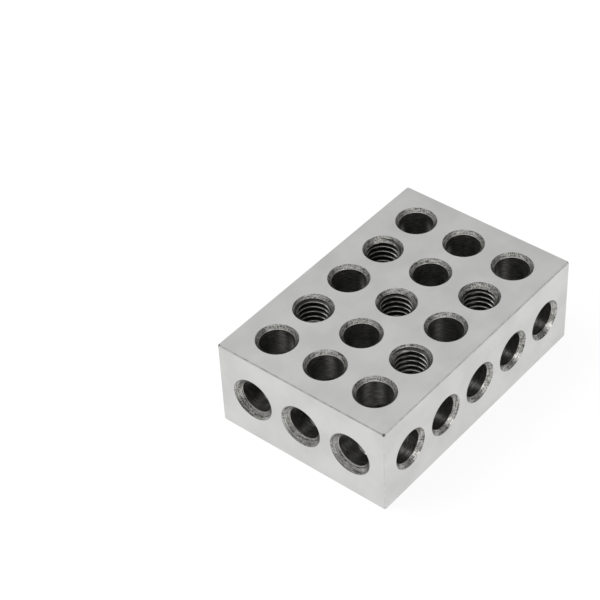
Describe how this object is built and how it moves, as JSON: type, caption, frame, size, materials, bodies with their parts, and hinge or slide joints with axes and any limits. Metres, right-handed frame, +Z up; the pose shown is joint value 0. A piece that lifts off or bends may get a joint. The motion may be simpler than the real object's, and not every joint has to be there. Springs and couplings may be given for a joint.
{
  "type": "machinist setup block",
  "caption": "Rectangular ground steel block, drilled through from every face with plain and tapped countersunk holes, for spacing, squaring and clamping work.",
  "frame": {"origin": "centre of the bottom face", "axes": "+X along the length, +Y along the width, +Z up through the thickness"},
  "size_m": [0.0762, 0.0508, 0.0254],
  "materials": {
    "ground_steel": "satin"
  },
  "bodies": {
    "root": {"setup_block": "ground_steel"}
  },
  "joints": []
}
